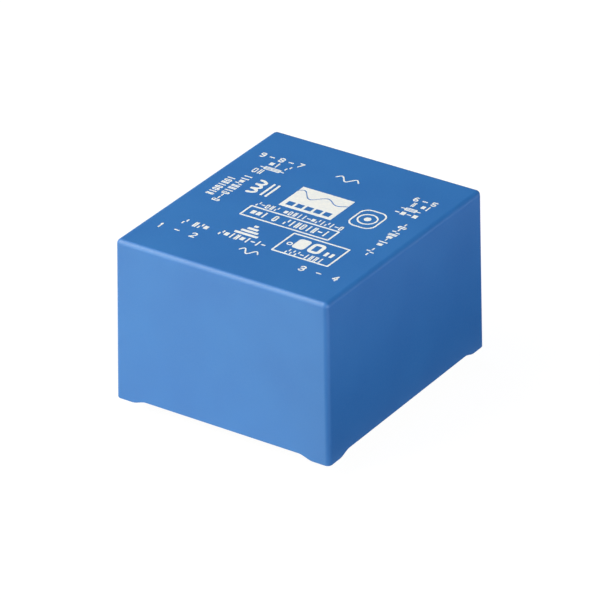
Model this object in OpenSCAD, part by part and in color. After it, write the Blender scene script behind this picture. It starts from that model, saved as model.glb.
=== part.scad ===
// Flat encapsulated mains transformer for printed circuit boards.
// Two wound bobbins sit on the legs of a lying U-I lamination stack, potted in a drafted moulded cup.
// Origin: centre of the terminal pattern, at the seating plane of the four corner feet. +Y points to the secondary row.

/* [Lamination stack] */
// Width of each leg of the U core
leg_w = 13; // [12:0.5:14]
// Width of the window between the two legs
window_w = 13; // [12.5:0.5:15]
// Length of the window
window_len = 39; // [37:1:42]
// Width of the yoke at each end of the window
yoke_w = 13; // [11:0.5:15]
// Height of the stack of laminations
stack_h = 21; // [16:1:26]

/* [Bobbins] */
// Clearance between a leg and the bobbin tube around it
sleeve_gap = 0.15; // [0.1:0.05:0.3]
// Wall of the bobbin tube
tube_t = 0.85; // [0.7:0.05:1.2]
// Thickness of the flanges
flange_t = 1; // [0.8:0.1:1.4]
// Corner radius of the flanges
flange_r = 2; // [1:0.5:3]
// Gap between the two bobbins in the window
bobbin_split = 0.2; // [0.1:0.1:0.6]
// Clearance between a bobbin and the yoke at each end
window_gap = 0.2; // [0.1:0.05:0.4]
// Height of the terminal rails
rail_h = 4.2; // [3.5:0.1:6]
// Reach of a rail past the terminal row
rail_margin = 2.5; // [1.5:0.25:3.5]
// Radius on the outer corners of a rail
rail_r = 1.2; // [0.5:0.1:2]
// Clearance round a lead in its flange hole
lead_gap = 0.15; // [0.1:0.05:0.3]

/* [Windings] */
// Radial build of the primary windings
primary_build = 4.6; // [3.6:0.1:4.9]
// Radial build of the secondary windings
secondary_build = 4.4; // [3.6:0.1:4.9]
// Corner radius of the finished windings
winding_r = 4; // [3:0.25:4.5]
// Clearance between a winding and its flanges
winding_gap = 0.2; // [0.1:0.05:0.5]
// Thickness of the insulation tape over a winding
tape_t = 0.3; // [0.1:0.1:0.4]

/* [Terminals] */
// Pitch of the board grid
pitch = 5; // [4.9:0.02:5.1]
// Diameter of a terminal pin
pin_d = 1; // [0.8:0.1:1.2]
// Length of a pin below the seating plane
pin_len = 3.7; // [3:0.1:4.6]
// Length of the chamfer at the tip of a pin
pin_tip = 0.3; // [0.1:0.05:0.35]
// Side of the square root that is pressed into the rail
root_w = 0.7; // [0.6:0.05:0.8]
// Height of the wrapping post above the rail
post_h = 3; // [2.8:0.1:4]
// Diameter of the primary leads
primary_lead_d = 0.6; // [0.4:0.1:0.8]
// Diameter of the secondary leads
secondary_lead_d = 0.9; // [0.6:0.1:1]
// Height of the leads above the rail
lead_rise = 1.9; // [1.8:0.1:2.1]

/* [Housing] */
// Wall of the cup at the mouth
wall = 1; // [0.9:0.1:1.6]
// Thickness of the closed top
top_t = 1.5; // [1.2:0.1:2.5]
// Draft of the two long walls, in degrees
draft_long = 1; // [0.5:0.1:1.5]
// Draft of the two short walls, in degrees
draft_short = 0.7; // [0.5:0.1:1.5]
// Radius of the upright outer edges
corner_r = 1.3; // [1.2:0.1:2.5]
// Radius of the outer edges round the top
edge_r = 1.2; // [0.8:0.1:1.2]
// Radius of the edges inside the cup
inner_r = 0.5; // [0.4:0.1:1.2]
// Clearance between the stack's ends and the short walls, at the top of the stack
end_gap = 0.1; // [0.05:0.05:0.6]
// Clearance between the bobbins and the long walls, at the top of the bobbins
side_gap = 2.55; // [2:0.05:4]
// Clearance between the bobbins and the inside of the top
top_gap = 1.5; // [1:0.1:3]
// Thickness of the locating ribs inside the cup
rib_t = 1.2; // [0.8:0.1:1.8]
// Length of the seat ribs under the top
seat_len = 8; // [5:1:12]
// Clearance between the ribs and the bobbins
rib_gap = 0.15; // [0.05:0.05:0.4]

/* [Feet] */
// Height of the feet below the rim of the cup
foot_h = 1; // [0.6:0.1:1.5]
// Flat length of a foot along each wall
foot_flat = 4.5; // [4:0.5:8]
// Length of the curved run-out from a foot to the rim
foot_ramp = 4.2; // [1:0.2:5]
// Depth of the solid corner pad behind a foot
pad_h = 3; // [2.2:0.1:5]

/* [Potting] */
// Depth of the resin surface behind the rim
resin_recess = 0.6; // [0.4:0.1:1]
// Height of the terminal rails left proud of the resin
rail_show = 0.3; // [0.1:0.1:0.4]

/* [Print] */
// Thickness of the ink on the top
ink_t = 0.05; // [0.03:0.01:0.1]
// Height of a line of print
line_h = 2; // [1.2:0.1:2.4]
// Width of a frame line
frame_line = 0.45; // [0.3:0.05:0.7]

/* [Hidden] */
$fn = 32;
CUT = 1;          // how far a cutting shape runs past the face it cuts
RAMP_STEPS = 8;   // flats along the run-out of a foot
EDGE_FLATS = 6;   // flats round the outer top edge
INNER_FLATS = 2;  // flats round the top edge inside

rim_z = foot_h;
resin_z = rim_z + resin_recess;
rail_z = resin_z - rail_show;
coil_z = rail_z + rail_h;

tube_w = leg_w + 2 * (sleeve_gap + tube_t);
tube_h = stack_h + 2 * (sleeve_gap + tube_t);
bobbin_w = leg_w + window_w - bobbin_split;
flange_depth = (bobbin_w - tube_w) / 2;
bobbin_h = tube_h + 2 * flange_depth;
bobbin_len = window_len - 2 * window_gap;
leg_x = (leg_w + window_w) / 2;
coil_mid = coil_z + bobbin_h / 2;
coil_top = coil_z + bobbin_h;

core_w = 2 * leg_w + window_w;
core_len = window_len + 2 * yoke_w;
core_z = coil_mid - stack_h / 2;
core_top = core_z + stack_h;

chamber_end = bobbin_len / 2 - flange_t;
chamber_len = chamber_end - flange_t / 2;
winding_len = chamber_len - 2 * winding_gap;

ceiling_z = coil_top + top_gap;
body_h = ceiling_z + top_t;
body_w = 2 * (leg_x + bobbin_w / 2 + side_gap + wall + coil_top * tan(draft_long));
body_d = core_len + 2 * (end_gap + wall + core_top * tan(draft_short));
rib_y = bobbin_len / 2 - flange_t / 2;

row_y = 5 * pitch;
lead_z = coil_z + lead_rise;
post_top = coil_z + post_h;

// Terminals 1 to 4 are the primary row, 5 to 9 the secondary row, counted round the part; each is [x, y] in pitches
PLACES = [[-4.5, -5], [-2.5, -5], [2.5, -5], [4.5, -5], [4.5, 5], [3.5, 5], [-2.5, 5], [-3.5, 5], [-4.5, 5]];
function pin_at(i) = PLACES[i - 1] * pitch;
function is_primary(i) = PLACES[i - 1][1] < 0;
function lead_d(i) = is_primary(i) ? primary_lead_d : secondary_lead_d;

function half_w(z) = body_w / 2 - z * tan(draft_long);
function half_d(z) = body_d / 2 - z * tan(draft_short);

TERMINALS = [for (i = [1 : 9]) i];

// ---- Shared shapes ----

// Rectangle about the origin with round corners, made of true arcs
module round_rect(w, h, r) {
    square([w - 2 * r, h], center = true);
    square([w, h - 2 * r], center = true);
    for (sx = [-1, 1], sy = [-1, 1])
        translate([sx * (w / 2 - r), sy * (h / 2 - r)]) circle(r = r);
}

// Stands a flat outline up round a bobbin's axis and gives it a length along Y
module along_y(len) {
    rotate([90, 0, 0]) linear_extrude(len, center = true) children();
}

// Top corner of a moulding: upright radius r, turned over by r_edge in some flats, with its summit at the origin
module corner_cap(r, r_edge, flats) {
    rotate_extrude()
        polygon(concat(
            [[0, -r_edge]],
            [for (a = [0 : 90 / flats : 90]) [r - r_edge + r_edge * cos(a), r_edge * (sin(a) - 1)]],
            [[0, 0]]
        ));
}

// Drafted body between z0 and z1, its walls set in from the outside of the cup.
// The shallow cones at its foot give the hull their lower rims only.
module drafted(z0, z1, inset, r, r_edge, flats) {
    shoulder = z1 - r_edge;
    hull()
        for (sx = [-1, 1], sy = [-1, 1]) {
            translate([sx * (half_w(z0) - inset - r), sy * (half_d(z0) - inset - r), z0])
                cylinder(r1 = r, r2 = r / 2, h = r / 4);
            translate([sx * (half_w(shoulder) - inset - r), sy * (half_d(shoulder) - inset - r), z1])
                corner_cap(r, r_edge, flats);
        }
}

// ---- Housing ----

// Solid pads behind the four feet
module corner_pads() {
    for (sx = [-1, 1], sy = [-1, 1])
        translate([sx * half_w(0), sy * half_d(0), -2 * CUT])
            cylinder(r = foot_flat, h = pad_h + 2 * CUT);
}

// Ribs on the long walls and under the top, which hold both bobbins by their end flanges
module locating_ribs() {
    rib_x = leg_x + bobbin_w / 2 + rib_gap;
    rib_z = coil_z + flange_r;
    for (sx = [-1, 1], sy = [-1, 1]) {
        translate([sx > 0 ? rib_x : -rib_x - body_w, sy * rib_y - rib_t / 2, rib_z])
            cube([body_w, rib_t, body_h]);
        translate([sx * leg_x - seat_len / 2, sy * rib_y - rib_t / 2, coil_top + rib_gap])
            cube([seat_len, rib_t, body_h]);
    }
}

// Space inside the cup, from height z0 up to the underside of the top
module cavity(z0) {
    difference() {
        drafted(z0, ceiling_z, wall, inner_r, inner_r / 2, INNER_FLATS, $fn = 16);
        corner_pads();
        locating_ribs();
    }
}

// Outline of the opening between two feet on a wall of half length half_l
module foot_gap(half_l) {
    start = half_l - foot_flat;
    ramp = [for (i = [0 : RAMP_STEPS])
        [start - foot_ramp * i / RAMP_STEPS, foot_h * (1 - cos(180 * i / RAMP_STEPS)) / 2]];
    mirrored = [for (i = [RAMP_STEPS : -1 : 0]) [-ramp[i][0], ramp[i][1]]];
    polygon(concat([[start, -CUT]], ramp, mirrored, [[-start, -CUT]]));
}

module housing() {
    color("#4682c0")
        difference() {
            drafted(-CUT, body_h, 0, corner_r, edge_r, EDGE_FLATS);
            cavity(-2 * CUT);
            translate([-body_w, -body_d, -3 * CUT]) cube([2 * body_w, 2 * body_d, 3 * CUT]);
            along_y(2 * body_d) foot_gap(half_w(0));
            rotate([0, 0, 90]) along_y(2 * body_w) foot_gap(half_d(0));
        }
}

// ---- Core ----

module u_core() {
    color("#5f6368")
        translate([-core_w / 2, -window_len / 2, core_z])
            linear_extrude(stack_h)
                difference() {
                    square([core_w, window_len + yoke_w]);
                    translate([leg_w, -CUT]) square([window_w, window_len + CUT]);
                }
}

module i_core() {
    color("#6b6f74")
        translate([-core_w / 2, -window_len / 2 - yoke_w, core_z])
            cube([core_w, yoke_w, stack_h]);
}

// ---- Bobbins ----

// Terminal rail beyond the flange at the end sy = -1 or 1, from height z up
module rail(sx, sy, z, h) {
    from_y = bobbin_len / 2 - flange_t;
    reach = row_y + rail_margin - from_y;
    translate([sx * leg_x, sy * (from_y + reach / 2), z])
        linear_extrude(h) {
            round_rect(bobbin_w, reach, rail_r);
            translate([0, -sy * reach / 4]) square([bobbin_w, reach / 2], center = true);
        }
}

module flange(sx, y) {
    translate([sx * leg_x, y, coil_mid])
        along_y(flange_t) round_rect(bobbin_w, bobbin_h, flange_r);
}

module bobbin(sx) {
    difference() {
        union() {
            translate([sx * leg_x, 0, coil_mid])
                along_y(bobbin_len) square([tube_w, tube_h], center = true);
            for (y = [-rib_y, 0, rib_y]) flange(sx, y);
            for (sy = [-1, 1]) {
                rail(sx, sy, rail_z, rail_h);
                translate([sx * leg_x - bobbin_w / 2, sy * rib_y - flange_t / 2, rail_z])
                    cube([bobbin_w, flange_t, rail_h + flange_r]);
            }
        }
        translate([sx * leg_x, 0, coil_mid])
            along_y(bobbin_len + 2 * CUT)
                square([leg_w + 2 * sleeve_gap, stack_h + 2 * sleeve_gap], center = true);
        for (i = TERMINALS)
            if (sign(pin_at(i)[0]) == sx) {
                // square hole for the root of the pin
                translate([pin_at(i)[0] - root_w / 2, pin_at(i)[1] - root_w / 2, rail_z - CUT])
                    cube([root_w, root_w, rail_h + 2 * CUT]);
                // hole in the flange for the lead
                translate([pin_at(i)[0], sign(pin_at(i)[1]) * rib_y, lead_z])
                    along_y(flange_t + 2 * CUT) circle(d = lead_d(i) + 2 * lead_gap);
            }
    }
}

module left_bobbin() { color("#2c2d31") bobbin(-1); }
module right_bobbin() { color("#2c2d31") bobbin(1); }

// ---- Windings and their tape ----

// Ring of rounded section round the bobbin tube, from depth inner to depth outer, in the chamber sy
module wrap(sx, sy, inner, outer, r_in, r_out) {
    translate([sx * leg_x, sy * (chamber_end + flange_t / 2) / 2, coil_mid])
        along_y(winding_len)
            difference() {
                round_rect(tube_w + 2 * outer, tube_h + 2 * outer, r_out);
                if (inner > 0)
                    round_rect(tube_w + 2 * inner, tube_h + 2 * inner, r_in);
                else
                    square([tube_w, tube_h], center = true);
            }
}

module winding(sx, sy, build) { wrap(sx, sy, 0, build, 0, winding_r); }
module tape(sx, sy, build) { wrap(sx, sy, build, build + tape_t, winding_r, winding_r + tape_t); }

module left_primary_winding() { color("#b5683a") winding(-1, -1, primary_build); }
module right_primary_winding() { color("#b5683a") winding(1, -1, primary_build); }
module left_secondary_winding() { color("#c07745") winding(-1, 1, secondary_build); }
module right_secondary_winding() { color("#c07745") winding(1, 1, secondary_build); }
module left_primary_tape() { color("#d9c77a") tape(-1, -1, primary_build); }
module right_primary_tape() { color("#d9c77a") tape(1, -1, primary_build); }
module left_secondary_tape() { color("#d9c77a") tape(-1, 1, secondary_build); }
module right_secondary_tape() { color("#d9c77a") tape(1, 1, secondary_build); }

// ---- Terminals and leads ----

module terminal(i) {
    color("#c9ccd0")
        translate([pin_at(i)[0], pin_at(i)[1], 0]) {
            translate([0, 0, -pin_len]) cylinder(d1 = pin_d - 2 * pin_tip, d2 = pin_d, h = pin_tip);
            translate([0, 0, pin_tip - pin_len]) cylinder(d = pin_d, h = rail_z + pin_len - pin_tip);
            translate([-root_w / 2, -root_w / 2, rail_z]) cube([root_w, root_w, post_top - rail_z]);
        }
}

// Wire from the end face of a winding, through the flange, to two turns round the post
module lead(i) {
    d = lead_d(i);
    wrap_r = root_w / sqrt(2) + d;
    start_y = chamber_end - winding_gap;
    run = row_y - wrap_r + d / 2 - start_y;
    color("#b87333") {
        translate([pin_at(i)[0], sign(pin_at(i)[1]) * (start_y + run / 2), lead_z])
            along_y(run) circle(d = d);
        translate([pin_at(i)[0], pin_at(i)[1], lead_z - d])
            linear_extrude(2 * d)
                difference() {
                    circle(r = wrap_r);
                    square(root_w, center = true);
                }
    }
}

// ---- Potting ----

// Resin fills the cup from just behind the rim, round the core, the bobbins and what they carry
module potting_resin() {
    color("#2b2f36")
        difference() {
            cavity(resin_z);
            translate([-core_w / 2, -core_len / 2, core_z]) cube([core_w, core_len, stack_h]);
            translate([0, 0, coil_mid])
                along_y(bobbin_len) round_rect(2 * leg_x + bobbin_w, bobbin_h, flange_r);
            translate([-leg_x - bobbin_w / 2, -bobbin_len / 2, coil_z - CUT])
                cube([2 * leg_x + bobbin_w, bobbin_len, CUT + flange_r]);
            for (sx = [-1, 1], sy = [-1, 1]) rail(sx, sy, rail_z - CUT, rail_h + CUT);
            for (i = TERMINALS) {
                translate([pin_at(i)[0] - root_w / 2, pin_at(i)[1] - root_w / 2, coil_z - CUT])
                    cube([root_w, root_w, post_h + CUT]);
                lead(i);
            }
        }
}

// ---- Print on the top ----

// Lines of print, each [x of its middle, y of its middle, length]
LINES = [
    [-18.4, 20.7, 13.2], [-18.3, 17.9, 7.8], [-18.3, 13.1, 7.6],
    [20.9, 20.9, 7.6], [21.9, 18.2, 5.2], [20.9, 13.4, 6.4],
    [0, 20.5, 6], [0.5, -0.9, 24], [-10.4, -17.4, 24.6],
    [-19.6, -21.9, 11], [0.2, -21.9, 4.8], [19.6, -21.9, 10.8]
];
// Upright lines of print, each [x of its middle, y of its middle, length]
UPRIGHTS = [[-23.9, 2.1, 10.4], [-20.9, 2.4, 15.2], [23.9, 0.9, 19.4]];
// Filled fields and frames, each [x of its middle, y of its middle, width, height]
FIELDS = [[0.3, 6.65, 14.5, 10.7], [10.9, -12.4, 7.4, 4.4], [-16, 6.1, 3, 6], [-10.6, 6.1, 3, 6]];
FRAMES = [[0.3, -4.95, 25, 5.3], [11.8, -13.4, 15.8, 9.9], [14.8, 6.2, 7.3, 9.1]];

module print_bar(x, y, w, h) {
    translate([x - w / 2, y - h / 2, body_h]) cube([w, h, ink_t]);
}

module print_frame(x, y, w, h) {
    translate([x, y, body_h])
        linear_extrude(ink_t)
            difference() {
                square([w, h], center = true);
                square([w - 2 * frame_line, h - 2 * frame_line], center = true);
            }
}

module top_print() {
    color("#f4f6f8") {
        for (p = LINES) print_bar(p[0], p[1], p[2], line_h / 2);
        for (p = UPRIGHTS) print_bar(p[0], p[1], line_h / 2, p[2]);
        for (p = FIELDS) print_bar(p[0], p[1], p[2], p[3]);
        for (p = FRAMES) print_frame(p[0], p[1], p[2], p[3]);
        print_bar(FRAMES[0][0], FRAMES[0][1], 20, line_h / 2);
    }
}

// ---- Nodes ----

housing();
potting_resin();
u_core();
i_core();
left_bobbin();
right_bobbin();
left_primary_winding();
right_primary_winding();
left_secondary_winding();
right_secondary_winding();
left_primary_tape();
right_primary_tape();
left_secondary_tape();
right_secondary_tape();
for (i = TERMINALS) {
    terminal(i);
    lead(i);
}
top_print();
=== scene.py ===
"""Looks of an encapsulated two-bobbin transformer for a printed board.

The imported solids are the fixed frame. This script adds the moulded cup with its
round edges, the white print on its top, the tinned terminals and the wound coils,
and gives every piece its finish.
"""

import logging
import math
from dataclasses import dataclass, field
from enum import Enum
from typing import Iterable, Sequence

import bmesh
import bpy
from mathutils import Matrix, Vector


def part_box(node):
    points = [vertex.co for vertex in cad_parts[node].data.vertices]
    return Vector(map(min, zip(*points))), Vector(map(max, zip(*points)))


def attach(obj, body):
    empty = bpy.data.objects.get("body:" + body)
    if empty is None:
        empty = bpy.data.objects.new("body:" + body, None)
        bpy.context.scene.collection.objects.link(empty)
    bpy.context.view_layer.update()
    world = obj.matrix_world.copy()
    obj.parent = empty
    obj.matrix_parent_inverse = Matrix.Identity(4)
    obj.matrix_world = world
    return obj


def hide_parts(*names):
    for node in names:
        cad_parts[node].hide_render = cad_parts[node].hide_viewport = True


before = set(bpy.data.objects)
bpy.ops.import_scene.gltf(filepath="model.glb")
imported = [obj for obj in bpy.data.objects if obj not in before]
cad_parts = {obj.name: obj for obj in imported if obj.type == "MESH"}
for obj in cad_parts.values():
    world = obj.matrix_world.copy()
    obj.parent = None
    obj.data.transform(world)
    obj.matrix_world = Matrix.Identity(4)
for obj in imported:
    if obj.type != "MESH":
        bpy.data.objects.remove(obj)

MM = 0.001
BODY = "root"
LOG = logging.getLogger("transformer")

Point = tuple[float, float]
Area = tuple[float, float, float, float]
Colour = tuple[float, float, float]


# ---- Node trees for materials ----


def linear(red: int, green: int, blue: int) -> Colour:
    """Turns a colour as painted, 0 to 255 a channel, into the shader's linear values."""
    def channel(value: int) -> float:
        """One channel of the standard display curve, undone."""
        share = value / 255
        return share / 12.92 if share <= 0.04045 else ((share + 0.055) / 1.055) ** 2.4
    return channel(red), channel(green), channel(blue)


class Finish:
    """A material under construction, with short ways to add the nodes that all finishes share."""

    def __init__(self, name: str) -> None:
        """Starts a material whose patterns read Object coordinates.

        Args:
            name: the material's name.
        """
        self.material = bpy.data.materials.new(name)
        self.material.use_nodes = True
        self.nodes = self.material.node_tree.nodes
        self.links = self.material.node_tree.links
        self.shader = self.nodes["Principled BSDF"]
        self.place = self.nodes.new("ShaderNodeTexCoord").outputs["Object"]

    def set(self, **values: object) -> None:
        """Sets the shader's own sockets; an underscore in a name stands for a space."""
        for name, value in values.items():
            self.shader.inputs[name.replace("_", " ")].default_value = value

    def noise(self, size_mm: float, detail: float = 3.0, stretch: Colour = (1, 1, 1)) -> bpy.types.NodeSocket:
        """Adds a noise pattern.

        Args:
            size_mm: how far apart its lumps are.
            detail: how many finer layers it has.
            stretch: how much its scale is multiplied along x, y and z.

        Returns:
            The pattern's value, around 0.5.
        """
        mapping = self.nodes.new("ShaderNodeMapping")
        mapping.inputs["Scale"].default_value = [s / (size_mm * MM) for s in stretch]
        texture = self.nodes.new("ShaderNodeTexNoise")
        texture.inputs["Scale"].default_value = 1.0
        texture.inputs["Detail"].default_value = detail
        self.links.new(self.place, mapping.inputs["Vector"])
        self.links.new(mapping.outputs["Vector"], texture.inputs["Vector"])
        return texture.outputs["Fac"]

    def cells(self, size_mm: float) -> bpy.types.NodeSocket:
        """Adds a cell pattern, and returns the distance from the nearest cell's middle."""
        texture = self.nodes.new("ShaderNodeTexVoronoi")
        texture.inputs["Scale"].default_value = 1 / (size_mm * MM)
        self.links.new(self.place, texture.inputs["Vector"])
        return texture.outputs["Distance"]

    def layers(self, axis: str, pitch_mm: float) -> bpy.types.NodeSocket:
        """Adds straight bands across one axis.

        Args:
            axis: X, Y or Z.
            pitch_mm: the distance from one band to the next.

        Returns:
            The pattern's value, from 0 to 1.
        """
        wave = self.nodes.new("ShaderNodeTexWave")
        wave.bands_direction = axis
        # a band repeats 20 times over 2 pi of the scaled length
        wave.inputs["Scale"].default_value = 2 * math.pi / 20 / (pitch_mm * MM)
        wave.inputs["Distortion"].default_value = 0.0
        self.links.new(self.place, wave.inputs["Vector"])
        return wave.outputs["Fac"]

    def spread(self, value: bpy.types.NodeSocket, low: float, high: float,
               start: float = 0.3, end: float = 0.7) -> bpy.types.NodeSocket:
        """Maps a pattern's start to end onto low to high, and returns the result."""
        node = self.nodes.new("ShaderNodeMapRange")
        for name, number in (("From Min", start), ("From Max", end), ("To Min", low), ("To Max", high)):
            node.inputs[name].default_value = number
        self.links.new(value, node.inputs["Value"])
        return node.outputs["Result"]

    def blend(self, value: bpy.types.NodeSocket, first: Colour, second: Colour) -> bpy.types.NodeSocket:
        """Blends two colours by a pattern, and returns the colour."""
        node = self.nodes.new("ShaderNodeValToRGB")
        node.color_ramp.elements[0].position, node.color_ramp.elements[1].position = 0.3, 0.7
        node.color_ramp.elements[0].color, node.color_ramp.elements[1].color = (*first, 1), (*second, 1)
        self.links.new(value, node.inputs["Fac"])
        return node.outputs["Color"]

    def raise_by(self, heights: Iterable[tuple[bpy.types.NodeSocket, float, float]]) -> None:
        """Stacks bumps on the surface.

        Args:
            heights: for each bump its pattern, its height in mm and its strength.
        """
        below = None
        for value, height_mm, strength in heights:
            bump = self.nodes.new("ShaderNodeBump")
            bump.inputs["Distance"].default_value = height_mm * MM
            bump.inputs["Strength"].default_value = strength
            self.links.new(value, bump.inputs["Height"])
            if below is not None:
                self.links.new(below, bump.inputs["Normal"])
            below = bump.outputs["Normal"]
        self.links.new(below, self.shader.inputs["Normal"])

    def feed(self, name: str, value: bpy.types.NodeSocket) -> None:
        """Links a pattern to one of the shader's sockets."""
        self.links.new(value, self.shader.inputs[name])


@dataclass(frozen=True)
class MouldedPlastic:
    """Blue filled thermoplastic from a spark-eroded mould: satin, with a fine even grain."""

    pale: Colour = linear(34, 112, 188)
    deep: Colour = linear(28, 106, 183)
    grain_mm: float = 0.32
    flow_mm: float = 16.0

    def build(self) -> bpy.types.Material:
        """Returns the material of the cup."""
        finish = Finish("moulded_plastic")
        flow = finish.noise(self.flow_mm, 2.0)
        grain = finish.noise(self.grain_mm, 2.0)
        finish.feed("Base Color", finish.blend(flow, self.deep, self.pale))
        finish.feed("Roughness", finish.spread(grain, 0.50, 0.60))
        finish.set(IOR=1.5, Specular_IOR_Level=0.9)
        finish.raise_by([(grain, 0.010, 0.5), (flow, 0.05, 0.25)])
        return finish.material


@dataclass(frozen=True)
class CastResin:
    """Dark two-part resin, poured and set: glossy, a little uneven, with a few pinholes."""

    dark: Colour = linear(24, 25, 28)
    pale: Colour = linear(36, 38, 42)

    def build(self) -> bpy.types.Material:
        """Returns the material of the fill."""
        finish = Finish("cast_resin")
        cloud = finish.noise(9.0, 3.0)
        pits = finish.spread(finish.cells(3.1), 0.0, 1.0, 0.03, 0.10)
        finish.feed("Base Color", finish.blend(cloud, self.dark, self.pale))
        finish.feed("Roughness", finish.spread(finish.noise(2.0), 0.18, 0.34))
        finish.set(IOR=1.53)
        finish.raise_by([(cloud, 0.30, 0.35), (pits, 0.08, 0.6)])
        return finish.material


@dataclass(frozen=True)
class NylonPlastic:
    """Black nylon with short glass fibre, which shows as fine pale streaks."""

    body: Colour = linear(30, 31, 33)
    fibre: Colour = linear(58, 60, 62)

    def build(self) -> bpy.types.Material:
        """Returns the material of the two bobbins."""
        finish = Finish("glass_filled_nylon")
        streaks = finish.noise(0.45, 4.0, (1.0, 0.25, 1.0))
        finish.feed("Base Color", finish.blend(streaks, self.body, self.fibre))
        finish.feed("Roughness", finish.spread(streaks, 0.42, 0.60))
        finish.raise_by([(streaks, 0.012, 0.5)])
        return finish.material


@dataclass(frozen=True)
class StackedSteel:
    """Silicon steel sheets, stacked flat: grey, with the edge of each sheet showing."""

    bright: Colour = linear(150, 150, 148)
    dull: Colour = linear(104, 103, 100)
    sheet_mm: float = 0.5

    def build(self) -> bpy.types.Material:
        """Returns the material of both core halves."""
        finish = Finish("stacked_steel")
        sheets = finish.layers("Z", self.sheet_mm)
        scale = finish.noise(1.4, 5.0, (1.0, 1.0, 6.0))
        finish.feed("Base Color", finish.blend(scale, self.dull, self.bright))
        finish.feed("Roughness", finish.spread(scale, 0.34, 0.55))
        finish.set(Metallic=0.9)
        finish.raise_by([(sheets, 0.06, 0.7), (scale, 0.02, 0.4)])
        return finish.material


@dataclass(frozen=True)
class EnamelledWire:
    """Copper wire under clear enamel: warm, and glossy where the enamel is thick."""

    bright: Colour = linear(214, 124, 66)
    dark: Colour = linear(150, 74, 34)

    def build(self) -> bpy.types.Material:
        """Returns the material of the windings and of their ends."""
        finish = Finish("enamelled_wire")
        tone = finish.noise(2.2, 3.0)
        finish.feed("Base Color", finish.blend(tone, self.dark, self.bright))
        finish.feed("Roughness", finish.spread(tone, 0.24, 0.40))
        finish.set(Metallic=0.85, Coat_Weight=0.6, Coat_Roughness=0.12)
        finish.raise_by([(finish.noise(0.5, 2.0), 0.010, 0.4)])
        return finish.material


@dataclass(frozen=True)
class PolyesterTape:
    """Yellow polyester tape with a satin skin and faint wrinkles across its width."""

    pale: Colour = linear(228, 204, 96)
    deep: Colour = linear(206, 176, 66)

    def build(self) -> bpy.types.Material:
        """Returns the material of the tape round the windings."""
        finish = Finish("polyester_tape")
        wrinkle = finish.noise(1.6, 3.0, (1.0, 0.15, 1.0))
        finish.feed("Base Color", finish.blend(wrinkle, self.deep, self.pale))
        finish.feed("Roughness", finish.spread(wrinkle, 0.26, 0.42))
        finish.set(Coat_Weight=0.3, Coat_Roughness=0.2)
        finish.raise_by([(wrinkle, 0.05, 0.5)])
        return finish.material


@dataclass(frozen=True)
class TinnedMetal:
    """Hot tin over brass: bright grey, drawn lengthways and slightly clouded."""

    bright: Colour = linear(222, 222, 216)
    dull: Colour = linear(182, 181, 174)

    def build(self) -> bpy.types.Material:
        """Returns the material of the terminals."""
        finish = Finish("tinned_metal")
        cloud = finish.noise(0.9, 4.0, (1.0, 1.0, 0.3))
        drawn = finish.noise(0.18, 2.0, (1.0, 1.0, 0.06))
        finish.feed("Base Color", finish.blend(cloud, self.dull, self.bright))
        finish.feed("Roughness", finish.spread(cloud, 0.20, 0.38))
        finish.set(Metallic=1.0)
        finish.raise_by([(drawn, 0.006, 0.5), (cloud, 0.02, 0.3)])
        return finish.material


@dataclass(frozen=True)
class ScreenInk:
    """White pad-printed ink: matt, thin, and not quite even."""

    full: Colour = linear(251, 252, 253)
    thin: Colour = linear(238, 243, 250)

    def build(self) -> bpy.types.Material:
        """Returns the material of the print."""
        finish = Finish("screen_ink")
        cover = finish.noise(0.7, 4.0)
        finish.feed("Base Color", finish.blend(cover, self.thin, self.full))
        finish.feed("Roughness", finish.spread(cover, 0.46, 0.60))
        finish.set(Specular_IOR_Level=0.3)
        finish.raise_by([(cover, 0.006, 0.4)])
        return finish.material


@dataclass
class Palette:
    """Every finish, made once and shared by the pieces that have it."""

    plastic: bpy.types.Material = field(default_factory=lambda: MouldedPlastic().build())
    resin: bpy.types.Material = field(default_factory=lambda: CastResin().build())
    nylon: bpy.types.Material = field(default_factory=lambda: NylonPlastic().build())
    steel: bpy.types.Material = field(default_factory=lambda: StackedSteel().build())
    wire: bpy.types.Material = field(default_factory=lambda: EnamelledWire().build())
    tape: bpy.types.Material = field(default_factory=lambda: PolyesterTape().build())
    tin: bpy.types.Material = field(default_factory=lambda: TinnedMetal().build())
    ink: bpy.types.Material = field(default_factory=lambda: ScreenInk().build())


# ---- Making meshes ----


def new_object(name: str, mesh: bpy.types.Mesh) -> bpy.types.Object:
    """Links a mesh to the scene as an object at the origin."""
    made = bpy.data.objects.new(name, mesh)
    bpy.context.scene.collection.objects.link(made)
    return made


def discard(*objects: bpy.types.Object) -> None:
    """Removes helper objects once what they cut or shaped is finished."""
    for item in objects:
        bpy.data.objects.remove(item)


def settle(item: bpy.types.Object) -> None:
    """Turns an object's modifiers into its plain mesh."""
    graph = bpy.context.evaluated_depsgraph_get()
    mesh = bpy.data.meshes.new_from_object(item.evaluated_get(graph), depsgraph=graph)
    item.modifiers.clear()
    item.data = mesh


def soften(item: bpy.types.Object, sharp_deg: float = 40.0) -> None:
    """Shades an object smooth, keeps its flats flat and its sharp edges sharp.

    Args:
        item: the object, without modifiers.
        sharp_deg: the angle between faces past which an edge stays sharp.
    """
    item.data.shade_smooth()
    item.data.set_sharp_from_angle(angle=math.radians(sharp_deg))
    weigh = item.modifiers.new("flat_faces", "WEIGHTED_NORMAL")
    weigh.mode, weigh.weight, weigh.keep_sharp = "FACE_AREA", 100, True
    settle(item)


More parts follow.
